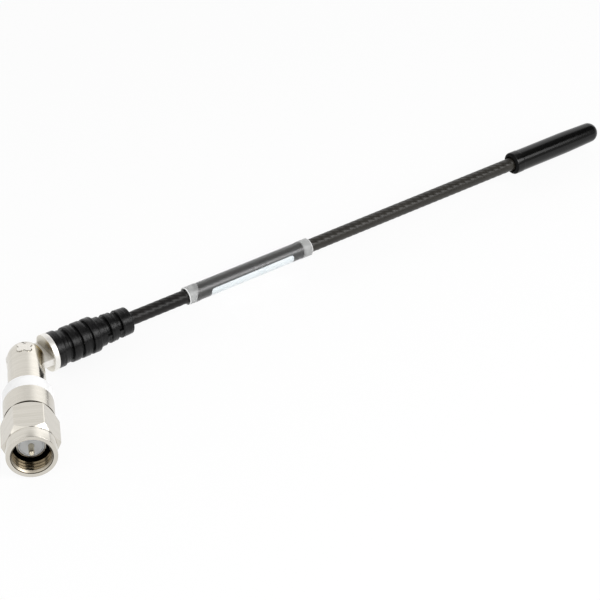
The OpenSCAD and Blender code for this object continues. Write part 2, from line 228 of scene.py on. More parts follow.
def grain(nodes, links, vector, detail=3.0, rough=0.55):
    noise = nodes.new("ShaderNodeTexNoise")
    noise.inputs["Scale"].default_value = 1.0
    noise.inputs["Detail"].default_value = detail
    noise.inputs["Roughness"].default_value = rough
    links.new(vector, noise.inputs["Vector"])
    return noise.outputs["Fac"]


def toneBetween(nodes, links, value, dark, light):
    ramp = nodes.new("ShaderNodeValToRGB")
    for element, place, tone in zip(ramp.color_ramp.elements, noiseSpread, (dark, light)):
        element.position = place
        element.color = (*tone, 1)
    links.new(value, ramp.inputs["Fac"])
    return ramp.outputs["Color"]


def valueBetween(nodes, links, value, low, high):
    spread = nodes.new("ShaderNodeMapRange")
    spread.inputs["From Min"].default_value, spread.inputs["From Max"].default_value = noiseSpread
    spread.inputs["To Min"].default_value = low
    spread.inputs["To Max"].default_value = high
    links.new(value, spread.inputs["Value"])
    return spread.outputs["Result"]


def relief(nodes, links, height, depth, strength):
    bump = nodes.new("ShaderNodeBump")
    bump.inputs["Distance"].default_value = depth
    bump.inputs["Strength"].default_value = strength
    links.new(height, bump.inputs["Height"])
    return bump.outputs["Normal"]


def grimeInCorners(nodes, links, tone, grime, reach, shut, clear):
    # painted shade: narrow gaps and inside corners are painted darker, by the share of open space above the
    # surface
    corner = nodes.new("ShaderNodeAmbientOcclusion")
    corner.samples = 8
    corner.inputs["Distance"].default_value = reach
    mix = nodes.new("ShaderNodeMix")
    mix.data_type = "RGBA"
    mix.inputs[6].default_value = (*grime, 1)  # inputs 6 and 7 are the two colours
    share = nodes.new("ShaderNodeMapRange")
    share.inputs["From Min"].default_value = shut
    share.inputs["From Max"].default_value = clear
    links.new(corner.outputs["AO"], share.inputs["Value"])
    links.new(share.outputs["Result"], mix.inputs[0])
    links.new(tone, mix.inputs[7])
    return mix.outputs[2]


def makeFinish(name, dark, light, rough, patch, marks, markDepth, markStrength, turn=0.0, grime=None,
               grimeReach=0.0004, grimeShare=(0.3, 0.7), sockets={}):
    # patch and marks are pattern scales per metre: slow changes of tone, and the fine relief
    material, nodes, links = newFinish(name)
    shader = nodes["Principled BSDF"]
    tone = grain(nodes, links, placedPattern(nodes, links, patch, turn))
    fine = grain(nodes, links, placedPattern(nodes, links, marks, turn), detail=4.0, rough=0.6)
    colour = toneBetween(nodes, links, tone, dark, light)
    # painted shade: the colour is darkened in gaps and inside corners
    if grime:
        colour = grimeInCorners(nodes, links, colour, grime, grimeReach, *grimeShare)
    links.new(colour, shader.inputs["Base Color"])
    links.new(valueBetween(nodes, links, fine, *rough), shader.inputs["Roughness"])
    links.new(relief(nodes, links, fine, markDepth, markStrength), shader.inputs["Normal"])
    for socket, value in sockets.items():
        shader.inputs[socket].default_value = value
    return material


def letLampsThrough(material):
    # light reaches what lies under the thin clear film
    nodes, links = material.node_tree.nodes, material.node_tree.links
    path = nodes.new("ShaderNodeLightPath")
    lit = nodes.new("ShaderNodeMath")
    lit.operation = "MAXIMUM"
    links.new(path.outputs["Is Shadow Ray"], lit.inputs[0])
    links.new(path.outputs["Is Diffuse Ray"], lit.inputs[1])
    film = nodes.new("ShaderNodeBsdfTransparent")
    mix = nodes.new("ShaderNodeMixShader")
    links.new(lit.outputs[0], mix.inputs["Fac"])
    links.new(nodes["Principled BSDF"].outputs[0], mix.inputs[1])
    links.new(film.outputs[0], mix.inputs[2])
    links.new(mix.outputs[0], nodes["Material Output"].inputs["Surface"])
    return material


def nickelFinish(name, turn=0.0, dark=(0.605, 0.575, 0.515), light=(0.67, 0.64, 0.58), rough=(0.13, 0.2),
                 **corners):
    # plated brass: warm grey with fine turning marks round the axis
    return makeFinish(name, dark, light, rough, (120, 3200, 120), (50, 14000, 50), 0.000003, 0.1, turn,
                      sockets={"Metallic": 1.0}, **corners)


# the corner colours below paint shade into gaps and inside corners
plugNickel = nickelFinish("plugNickel", rough=(0.24, 0.32), grime=(0.02, 0.014, 0.008), grimeReach=0.0006)
rivetNickel = nickelFinish("rivetNickel", 0.0, (0.75, 0.72, 0.66), (0.86, 0.83, 0.78), (0.22, 0.32),
                           grime=(0.02, 0.014, 0.008), grimeReach=0.0006)
# painted shadow: near-black nickel for the thin dark lines at the nut's mouth chamfer, on the collar's front
# face and in the rivet pit
paintedShadowNickel = nickelFinish("paintedShadowNickel", 0.0, (0.03, 0.022, 0.012), (0.06, 0.045, 0.028), (0.35, 0.5))
nutNickel = nickelFinish("nutNickel", grime=(0.03, 0.022, 0.012), grimeReach=0.0004)
# painted shade: a dark brown copy of the nickel for the threaded bore, darkest deep in the threads
shadedBoreNickel = nickelFinish("shadedBoreNickel", 0.0, (0.18, 0.14, 0.085), (0.31, 0.25, 0.165), (0.12, 0.19),
                          grime=(0.004, 0.003, 0.002), grimeReach=0.0012, grimeShare=(0.35, 0.85))
# painted shade: a darker copy of the nickel that dims the reflection on the nut's lead-in
shadedLeadNickel = nickelFinish("shadedLeadNickel", 0.0, (0.45, 0.41, 0.33), (0.53, 0.48, 0.4), (0.36, 0.48))
forkNickel = nickelFinish("forkNickel", grime=(0.12, 0.09, 0.05), grimeReach=0.0004)
# painted reflection and shade: golden-brown nickel on the fork's flank facing the tongue and flange, darker in
# the corners
flankReflectionNickel = nickelFinish("flankReflectionNickel", 0.0, (0.63, 0.51, 0.28), (0.71, 0.59, 0.35), (0.4, 0.52),
                           grime=(0.36, 0.26, 0.1), grimeReach=0.0015, grimeShare=(0.3, 0.9))
# painted highlight: a lighter copy of the nickel for the tongue and flange
litHingeNickel = nickelFinish("litHingeNickel", -whipTilt, (0.89, 0.87, 0.83), (0.95, 0.935, 0.9), (0.42, 0.54))
# painted shade: a darker copy of the nickel for the flange's front face, darker still near the tongue
shadedFaceNickel = nickelFinish("shadedFaceNickel", -whipTilt, (0.68, 0.65, 0.57), (0.78, 0.75, 0.67), (0.24, 0.34),
                           grime=(0.25, 0.225, 0.175), grimeReach=0.0018, grimeShare=(0.3, 0.85))
whiteInsulator = makeFinish("whiteInsulator", (0.93, 0.93, 0.93), (0.95, 0.95, 0.95), (0.3, 0.42),
                            (350, 350, 350), (4000, 4000, 4000), 0.000006, 0.08)
# painted shade: the groove in the dielectric's face is darkened
dielectricWhite = makeFinish("dielectricWhite", (0.87, 0.89, 0.9), (0.93, 0.945, 0.95), (0.38, 0.5),
                             (700, 700, 700), (5000, 5000, 5000), 0.000006, 0.1,
                             grime=(0.3, 0.3, 0.29), grimeReach=0.0002)
gasketRubber = makeFinish("gasketRubber", (0.006, 0.006, 0.006), (0.012, 0.012, 0.012), (0.5, 0.65),
                          (900, 900, 900), (4000, 4000, 4000), 0.00001, 0.2)
contactGilt = makeFinish("contactGilt", (0.66, 0.6, 0.47), (0.76, 0.7, 0.57), (0.18, 0.3),
                         (600, 900, 600), (60, 9000, 60), 0.000004, 0.12, sockets={"Metallic": 1.0})
springSteel = makeFinish("springSteel", (0.4, 0.39, 0.37), (0.5, 0.49, 0.47), (0.28, 0.4),
                         (600, 600, 600), (5000, 300, 5000), 0.000005, 0.12, -whipTilt,
                         sockets={"Metallic": 1.0})
bootRubber = makeFinish("bootRubber", (0.001, 0.001, 0.001), (0.005, 0.0048, 0.005), (0.18, 0.29),
                        (500, 1500, 500), (350, 2200, 350), 0.00014, 1.0, -whipTilt,
                        sockets={"Specular IOR Level": 0.24})
jacketBrown = makeFinish("jacketBrown", (0.016, 0.0145, 0.0115), (0.029, 0.026, 0.021), (0.3, 0.42),
                         (800, 250, 800), (7000, 7000, 7000), 0.000008, 0.2, -whipTilt,
                         sockets={"Specular IOR Level": 0.33})
# painted shade: a darker copy of the jacket for the whip nearer the hinge and under the sleeve
shadedJacket = makeFinish("shadedJacket", (0.005, 0.0045, 0.004), (0.011, 0.0095, 0.0085), (0.3, 0.42),
                        (800, 250, 800), (7000, 7000, 7000), 0.000008, 0.2, -whipTilt,
                        sockets={"Specular IOR Level": 0.23})
capBlack = makeFinish("capBlack", (0.0015, 0.0015, 0.0015), (0.003, 0.003, 0.0027), (0.15, 0.21),
                      (300, 120, 300), (2500, 900, 2500), 0.00001, 0.02, -whipTilt,
                      sockets={"Specular IOR Level": 0.3})
capEdge = makeFinish("capEdge", (0.002, 0.002, 0.002), (0.004, 0.004, 0.004), (0.5, 0.65),
                     (300, 300, 300), (2500, 2500, 2500), 0.00001, 0.1, -whipTilt,
                     sockets={"Specular IOR Level": 0.1})
labelPaper = makeFinish("labelPaper", (0.78, 0.84, 0.87), (0.84, 0.89, 0.91), (0.35, 0.5),
                        (500, 500, 500), (6000, 6000, 6000), 0.000005, 0.1, -whipTilt)
sleeveClear = letLampsThrough(makeFinish(
    "sleeveClear", (0.93, 0.945, 0.945), (0.97, 0.98, 0.98), (0.27, 0.33), (400, 150, 400), (700, 200, 700),
    0.000002, 0.01, -whipTilt, sockets={
        "Transmission Weight": 0.99, "IOR": 1.45, "Coat Weight": 1.0, "Coat IOR": 1.5, "Coat Roughness": 0.42}))
sleeveFrosted = letLampsThrough(makeFinish(
    "sleeveFrosted", (0.42, 0.425, 0.42), (0.54, 0.545, 0.54), (0.3, 0.45), (900, 900, 900), (3000, 3000, 3000),
    0.00001, 0.2, -whipTilt, sockets={"Transmission Weight": 0.4, "IOR": 1.45}))
sleeveRim = makeFinish("sleeveRim", (0.85, 0.855, 0.85), (0.93, 0.93, 0.925), (0.3, 0.45),
                       (900, 900, 900), (3000, 3000, 3000), 0.000005, 0.1, -whipTilt)
print("finishes ready")


# Coupling nut

nut = {"flats": 8.0, "hexLength": 6.17, "noseWidth": 7.9, "rearWidth": 7.7, "chamferSlope": 45,
       "edgeRound": 0.16, "noseRound": 0.07, "threadWidth": 6.39, "threadDepth": 5.0, "mouthChamfer": 0.1,
       "neckBore": 5.58, "pitch": 0.7056, "crestWidth": 5.9, "rootLength": 0.6, "crestLength": 0.12,
       "rootSink": 0.05, "leadIn": 0.55, "leadDepth": 0.47, "leadWidth": 5.94, "turns": 3, "stepsPerTurn": 72,
       "blankMargin": 0.2, "cutAhead": 0.1}


def makeThread():
    rootRadius = nut["threadWidth"] / 2 + nut["rootSink"]
    crestRadius = nut["crestWidth"] / 2
    start = nutFront + nut["leadIn"] + nut["rootLength"] / 2
    clearSelection()
    bpy.ops.mesh.primitive_plane_add(size=1, location=((rootRadius + crestRadius) / 2, start, 0))
    ridge = bpy.context.object
    ridge.scale = (rootRadius - crestRadius, nut["rootLength"], 1)
    ridge = freshPiece("threadRidge")
    pickIn(ridge, "vertices", lambda v: v.co.x < crestRadius + touch)
    narrow = nut["crestLength"] / nut["rootLength"]
    bpy.ops.transform.resize(value=(1, narrow, 1), center_override=(crestRadius, start, 0))
    bpy.ops.mesh.select_all(action="SELECT")
    bpy.ops.mesh.delete(type="ONLY_FACE")
    putDown()
    winding = ridge.modifiers.new("winding", "SCREW")
    winding.axis = "Y"
    winding.iterations = nut["turns"]
    winding.screw_offset = nut["pitch"]
    winding.steps = winding.render_steps = nut["stepsPerTurn"]
    takeInHand(ridge)
    bpy.ops.object.modifier_apply(modifier=winding.name)
    bpy.ops.object.mode_set(mode="EDIT")
    bpy.ops.mesh.select_all(action="SELECT")
    bpy.ops.mesh.fill_holes(sides=4)
    putDown()
    mergeAndFaceOut(ridge)
    return ridge


def makeNut():
    cornerRadius = nut["flats"] / 2 / math.cos(math.pi / 6)
    noseRadius = nut["noseWidth"] / 2
    rearRadius = nut["rearWidth"] / 2
    threadRadius = nut["threadWidth"] / 2
    neckRadius = nut["neckBore"] / 2
    slope = math.tan(math.radians(nut["chamferSlope"]))
    hexFront = nutRear - nut["hexLength"]
    threadEnd = nutFront + nut["threadDepth"]
    clearSelection()
    bpy.ops.mesh.primitive_cylinder_add(vertices=6, radius=cornerRadius, depth=nut["hexLength"],
                                        location=(0, (hexFront + nutRear) / 2, 0),
                                        rotation=(-math.pi / 2, math.pi / 6, 0))
    piece = freshPiece("couplingNut")
    ends = piece.data.vertices
    pickIn(piece, "edges", lambda e: abs(ends[e.vertices[0]].co.y - ends[e.vertices[1]].co.y)
           > nut["hexLength"] / 2)  # edges that run lengthwise
    bpy.ops.mesh.bevel(offset=nut["edgeRound"], segments=4, affect="EDGES")
    putDown()
    outer = cornerRadius + nut["blankMargin"]
    blank = turnOnLathe("blank", [
        (noseRadius - touch, hexFront), (outer, hexFront + (outer - noseRadius) * slope),
        (outer, nutRear - (outer - rearRadius) * slope), (rearRadius, nutRear), (0, nutRear)], sides=192)
    combine(piece, blank, "INTERSECT")
    bend = nut["noseRound"]
    noseEnd = hexFront + standOut
    nose = turnOnLathe("nose", [(noseRadius - bend, nutFront)] + arc(
        noseRadius - bend, nutFront + bend, bend, -90, 0) + [(noseRadius, noseEnd), (0, noseEnd)], sides=192)
    combine(piece, nose, "UNION")
    chamfer, ahead = nut["mouthChamfer"], nut["cutAhead"]
    leadEnd, threadStart = nutFront + nut["leadDepth"], nutFront + nut["leadIn"]
    bore = turnOnLathe("bore", [
        (threadRadius + chamfer + ahead, nutFront - ahead), (threadRadius, nutFront + chamfer),
        (nut["leadWidth"] / 2, leadEnd), (threadRadius, threadStart), (threadRadius, threadEnd),
        (neckRadius, threadEnd + threadRadius - neckRadius), (neckRadius, nutRear + standOut),
        (0, nutRear + standOut)], sides=160)
    combine(piece, bore, "DIFFERENCE")
    joinInto(piece, makeThread())
    rootRadius = threadRadius + nut["rootSink"]
    # painted shade on the threaded bore, a painted shadow line on the mouth chamfer and a darker, shaded nickel
    # on the lead-in
    paintFaces(piece, [nutNickel, shadedBoreNickel, paintedShadowNickel, shadedLeadNickel], [
        lambda f: fromAxis(f) < rootRadius + touch and threadStart < f.center.y < nutRear - touch,
        lambda f: fromAxis(f) < threadRadius + chamfer and nutFront + touch < f.center.y < nutFront + chamfer,
        lambda f: fromAxis(f) < threadRadius + touch and nutFront + chamfer < f.center.y < leadEnd])
    return finishPiece(piece, "nut", ["coupling_nut"], [])


makeNut()


# Plug body, gasket, dielectric and contact

plug = {"shellWidth": 4.6, "boreWidth": 4.1, "neckWidth": 5.5, "collarWidth": 8.0, "collarFront": 5.98,
        "collarRound": 0.12, "rearRound": 0.05, "shellChamfer": 0.05, "shadowLean": -0.4, "bushWidth": 5.0,
        "gasketWidth": 5.5, "gasketBore": 4.64, "gasketRound": 0.15,
        "pinWidth": 0.91, "pinTipWidth": 0.4, "pinTipAngle": -80, "pinTipSteps": 6, "contactWidth": 1.27,
        "dielectricWidth": 4.06, "dielectricRound": 0.06, "faceDepth": 0.15, "faceRing": 1.72,
        "faceRingWidth": 0.1, "faceRingDepth": 0.06, "contactGap": 0.02, "pinGap": 0.01}


def makePlugBody():
    shell, neck, collar = plug["shellWidth"] / 2, plug["neckWidth"] / 2, plug["collarWidth"] / 2
    bore, bush, front = plug["boreWidth"] / 2, plug["bushWidth"] / 2, plug["collarFront"]
    bend, rearBend, cut = plug["collarRound"], plug["rearRound"], plug["shellChamfer"]
    piece = turnOnLathe("plugBody", [
        (bore, bodyFront), (shell - cut, bodyFront), (shell, bodyFront + cut), (shell, gasketRear),
        (neck, gasketRear), (neck, front)] + arc(collar - bend, front + bend, bend, -90, 0, steps=4)
        + arc(collar - rearBend, collarRear - rearBend, rearBend, 0, 90, steps=3)
        + [(bush, collarRear), (bush, bushFront), (bore, bushFront)], sides=160, closed=True)
    # painted shadow: the collar's front face beside the nut is painted near black
    paintFaces(piece, [plugNickel, paintedShadowNickel], [
        lambda f: f.normal.y < plug["shadowLean"] and front - touch < f.center.y < front + bend])
    return finishPiece(piece, "plug", ["connector_body"], [])


def makeGasket():
    bore, rim, bend = plug["gasketBore"] / 2, plug["gasketWidth"] / 2, plug["gasketRound"]
    piece = turnOnLathe("nutGasket", [(bore, gasketFront)]
                        + arc(rim - bend, gasketFront + bend, bend, -90, 0, steps=4)
                        + arc(rim - bend, gasketRear - bend, bend, 0, 90, steps=4)
                        + [(bore, gasketRear)], sides=96, closed=True)
    return finishPiece(piece, "plug", ["nut_gasket"], [gasketRubber])


def makeDielectric():
    rim, bend, gap = plug["dielectricWidth"] / 2, plug["dielectricRound"], plug["contactGap"]
    bore, step = plug["contactWidth"] / 2 + gap, bodyFront + plug["faceDepth"] - gap
    eye, sunk = plug["pinWidth"] / 2 + plug["pinGap"], bodyFront + plug["faceRingDepth"]
    inner, outer = plug["faceRing"], plug["faceRing"] + plug["faceRingWidth"]
    piece = turnOnLathe("plugDielectric", [
        (eye, bodyFront), (inner, bodyFront), (inner, sunk), (outer, sunk), (outer, bodyFront)]
        + arc(rim - bend, bodyFront + bend, bend, -90, 0, steps=4)
        + [(rim, bushFront), (bore, bushFront), (bore, step), (eye, step)], sides=96, closed=True)
    return finishPiece(piece, "plug", ["contact_dielectric"], [dielectricWhite])


def makeContact():
    pin, core, shoulder = plug["pinWidth"] / 2, plug["contactWidth"] / 2, bodyFront + plug["faceDepth"]
    tip, dome = plug["pinTipWidth"] / 2, pin - plug["pinTipWidth"] / 2
    piece = turnOnLathe("contactPin", [(tip, pinTip)]
                        + arc(tip, pinTip + dome, dome, plug["pinTipAngle"], 0, plug["pinTipSteps"])
                        + [(pin, shoulder), (core, shoulder), (core, bushFront), (pin, bushFront),
                           (pin, pinTail), (0, pinTail)], sides=64)
    return finishPiece(piece, "plug", ["contact_pin"], [contactGilt])


makePlugBody()
makeGasket()
makeDielectric()
makeContact()


# White insulator ring

ring = {"width": 8.0, "round": 0.15, "bushWidth": 4.96, "stemBore": 2.44}


def makeInsulator():
    rim, bend, bush, bore = ring["width"] / 2, ring["round"], ring["bushWidth"] / 2, ring["stemBore"] / 2
    piece = turnOnLathe("insulatorRing", [(bore, bushFront), (bush, bushFront), (bush, collarRear)]
                        + arc(rim - bend, collarRear + bend, bend, -90, 0, steps=5)
                        + arc(rim - bend, ringRear - bend, bend, 0, 90, steps=5)
                        + [(bore, ringRear)], sides=160, closed=True)
    return finishPiece(piece, "plug", ["insulator_ring"], [whiteInsulator])


makeInsulator()


# Hinge fork and its staked rivet

fork = {"width": 6.0, "stemWidth": 2.4, "socketWidth": 0.95, "socketLength": 2.3, "slotWidth": 1.3,
        "slotFloor": 3.35, "slotCut": (9, 12), "seatHeight": 2.68, "holeWidth": 1.44, "footChamfer": 0.06,
        "domeAngle": 88, "flankLean": 0.62}
rivet = {"shankWidth": 1.4, "crown": 3.1, "lobes": 4, "lobeWidth": 1.16, "lobeReach": 1.42, "coreWidth": 1.85,
         "crownTilt": 5, "rimWidths": (0.085, 0.136), "crownSink": 0.05, "edgeRound": 0.05, "turn": 41,
         "gap": 0.05, "pit": (-0.27, 1.2), "pitWidth": 0.45, "pitDepth": 0.5}


def makeLobes(name, low, high, grow=0.0):
    # round core with lobes set round it, like a flower
    clearSelection()
    bpy.ops.mesh.primitive_cylinder_add(vertices=64, radius=rivet["coreWidth"] / 2 + grow, depth=high - low,
                                        location=(0, hingeAlong, (low + high) / 2))
    flower = freshPiece(name)
    out = rivet["lobeReach"] - rivet["lobeWidth"] / 2
    for i in range(rivet["lobes"]):
        turn = math.radians(rivet["turn"]) + 2 * math.pi * i / rivet["lobes"]
        clearSelection()
        bpy.ops.mesh.primitive_cylinder_add(
            vertices=48, radius=rivet["lobeWidth"] / 2 + grow, depth=high - low,
            location=(out * math.cos(turn), hingeAlong + out * math.sin(turn), (low + high) / 2))
        combine(flower, freshPiece("lobe"), "UNION")
    return flower


def rollOver(piece):
    takeInHand(piece)
    bpy.ops.object.mode_set(mode="EDIT")
    bpy.ops.mesh.select_all(action="SELECT")
    bpy.ops.transform.rotate(value=math.pi, orient_axis="Y", center_override=(0, hingeAlong, 0))
    putDown()


def makeFork():
    radius, stem, socket = fork["width"] / 2, fork["stemWidth"] / 2, fork["socketWidth"] / 2
    noseAlong, foot = forkEnd - radius, fork["footChamfer"]
    piece = turnOnLathe("hingeFork", [
        (socket, forkFront + fork["socketLength"]), (socket, forkFront), (stem, forkFront), (stem, ringRear),
        (radius - foot, ringRear), (radius, ringRear + foot)]
        + arc(0, noseAlong, radius, 0, fork["domeAngle"], steps=24) + [(0, forkEnd)], sides=160)
    slotStart = hingeAlong - fork["slotFloor"]
    cutWidth, cutLength = fork["slotCut"]
    clearSelection()
    bpy.ops.mesh.primitive_cube_add(size=1, location=(0, slotStart + cutLength / 2, 0))
    bpy.context.object.scale = (cutWidth, cutLength, fork["slotWidth"])
    combine(piece, freshPiece("slotCut"), "DIFFERENCE")
    clearSelection()
    bpy.ops.mesh.primitive_cylinder_add(vertices=64, radius=fork["holeWidth"] / 2, depth=cutWidth,
                                        location=(0, hingeAlong, 0))
    combine(piece, freshPiece("holeCut"), "DIFFERENCE")
    for side in (1, -1):
        seat = makeLobes("seatCut", fork["seatHeight"], fork["seatHeight"] + 2 * standOut, rivet["gap"])
        if side < 0:
            rollOver(seat)
        combine(piece, seat, "DIFFERENCE")
    clearSelection()
    bpy.ops.mesh.primitive_cylinder_add(
        vertices=24, radius=rivet["pitWidth"] / 2, depth=2 * rivet["pitDepth"],
        location=(rivet["pit"][0], hingeAlong + rivet["pit"][1], fork["seatHeight"]))
    combine(piece, freshPiece("pitCut"), "DIFFERENCE")
    pit = Vector((rivet["pit"][0], hingeAlong + rivet["pit"][1]))
    # painted reflection on the fork's flank beside the tongue, painted shadow in the rivet pit
    paintFaces(piece, [forkNickel, flankReflectionNickel, paintedShadowNickel], [
        lambda f: f.normal.x > fork["flankLean"] and f.center.y > slotStart
        and abs(f.center.z) > fork["slotWidth"] / 2,
        lambda f: f.center.z > 0 and (f.center.xy - pit).length < rivet["pitWidth"] / 2 + touch])
    return finishPiece(piece, "plug", ["hinge_fork"], [])


def makeRivetHead():
    crown, sink = rivet["crown"], rivet["crownSink"]
    head = makeLobes("rivetHead", fork["seatHeight"], crown)
    pickIn(head, "polygons", lambda f: f.normal.z > facing and f.center.z > crown - touch)
    bpy.ops.mesh.dissolve_limited(angle_limit=math.radians(1))
    for width in rivet["rimWidths"]:
        bpy.ops.mesh.inset(thickness=width, depth=0)
    bpy.ops.transform.translate(value=(0, 0, -sink))
    putDown()
    pickIn(head, "vertices", lambda v: v.co.z > crown - 2 * sink)
    bpy.ops.transform.rotate(value=math.radians(rivet["crownTilt"]), orient_axis="X",
                             center_override=(0, hingeAlong - rivet["lobeReach"], crown - sink))
    putDown()
    return head


def makeRivet():
    clearSelection()
    bpy.ops.mesh.primitive_cylinder_add(vertices=48, radius=rivet["shankWidth"] / 2,
                                        depth=2 * fork["seatHeight"],
                                        location=(0, hingeAlong, 0))
    piece = freshPiece("hingeRivet")
    upper = makeRivetHead()
    takeInHand(upper)
    bpy.ops.object.duplicate()
    lower = bpy.context.object
    rollOver(lower)
    joinInto(piece, upper, lower)
    softenEdges(piece, rivet["edgeRound"], segments=2, limit=50)
    return finishPiece(piece, "plug", ["hinge_rivet"], [rivetNickel])


makeFork()
makeRivet()


# Tongue, flange and barrel, counted from the hinge

tongue = {"width": 5.4, "thickness": 1.2, "endRadius": 3.1, "flangeStart": 3.7, "flangeEnd": 4.62,
          "flangeWidth": 6.3, "flangeRound": 0.08, "overlap": 0.3, "barrelWidth": 3.5, "barrelEnd": 12.62,
          "barrelFloor": 0.58, "holeWidth": 1.48, "holeCut": 4, "cableBore": 1.98, "jacketBore": 2.38,
          "jacketStart": 9.0, "faceMargin": 0.02}


def makeTongue():
    half, thick, end = tongue["width"] / 2, tongue["thickness"], tongue["endRadius"]
    margin = tongue["faceMargin"]
    clearSelection()
    bpy.ops.mesh.primitive_cylinder_add(vertices=128, radius=end, depth=thick, location=(0, 0, 0))
    piece = freshPiece("hingeTongue")
    bpy.ops.object.mode_set(mode="EDIT")
    for side in (1, -1):
        bpy.ops.mesh.select_all(action="SELECT")
        bpy.ops.mesh.bisect(plane_co=(side * half, 0, 0), plane_no=(side, 0, 0),
                            use_fill=True, clear_outer=True)
    putDown()
    start, rear = tongue["flangeStart"], tongue["flangeEnd"]
    stripLength = start + tongue["overlap"]
    clearSelection()
    bpy.ops.mesh.primitive_cube_add(size=1, location=(0, stripLength / 2, 0))
    bpy.context.object.scale = (2 * half, stripLength, thick)
    combine(piece, freshPiece("tongueStrip"), "UNION")
    rim, bend, barrel = tongue["flangeWidth"] / 2, tongue["flangeRound"], tongue["barrelWidth"] / 2
    cable, jacket = tongue["cableBore"] / 2, tongue["jacketBore"] / 2
    barrelEnd, jacketStart, floor = tongue["barrelEnd"], tongue["jacketStart"], rear + tongue["barrelFloor"]
    flange = turnOnLathe("flange", [(rim - bend, start)] + arc(rim - bend, start + bend, bend, -90, 0, steps=4)
                         + arc(rim - bend, rear - bend, bend, 0, 90, steps=4)
                         + [(barrel, rear), (barrel, barrelEnd), (jacket, barrelEnd), (jacket, jacketStart),
                            (cable, jacketStart), (cable, floor), (0, floor)], sides=160)
    combine(piece, flange, "UNION")
    clearSelection()
    bpy.ops.mesh.primitive_cylinder_add(vertices=64, radius=tongue["holeWidth"] / 2, depth=tongue["holeCut"],
                                        location=(0, 0, 0))
    combine(piece, freshPiece("rivetHole"), "DIFFERENCE")
    takeInHand(piece)
    bpy.ops.object.mode_set(mode="EDIT")
    for side in (1, -1):
        bpy.ops.mesh.select_all(action="SELECT")
        bpy.ops.mesh.bisect(plane_co=(side * (half + margin), 0, 0), plane_no=(1, 0, 0))
    putDown()
    # the tongue and flange get a lighter, lit nickel as a painted highlight; the flange's front face beside the
    # tongue gets a darker one as painted shade
    paintFaces(piece, [litHingeNickel, shadedFaceNickel], [
        lambda f: f.normal.y < -facing and abs(f.center.y - start) < margin and abs(f.center.x) < half])
    return finishPiece(piece, "whip", ["hinge_tongue"], [], onWhip=True)


makeTongue()


# Ribbed boot

boot = {"lipWidth": 6.14, "lipLength": 1.45, "landWidth": 5.6, "landLength": 0.85, "rings": 3, "ringWidth": 5.98,
        "ringLength": 1.38, "grooveLength": 0.53, "grooveDepth": 0.5, "tailRings": 3, "tailWidth": 5.12,
        "tailEndWidth": 4.56, "tailLength": 6.44, "tailGroove": 0.8, "tailEndExtra": 0.65, "tailDepth": 0.54,
        "ripple": 0.05, "rippleLength": 0.42, "round": 0.18, "webAngle": 30, "webTurn": 8, "webs": 2,
        "webRecess": 0.2, "webRoot": 0.15, "webOverlap": 0.2, "webRound": 0.06, "jacketBore": 2.38, "fit": 0.02}


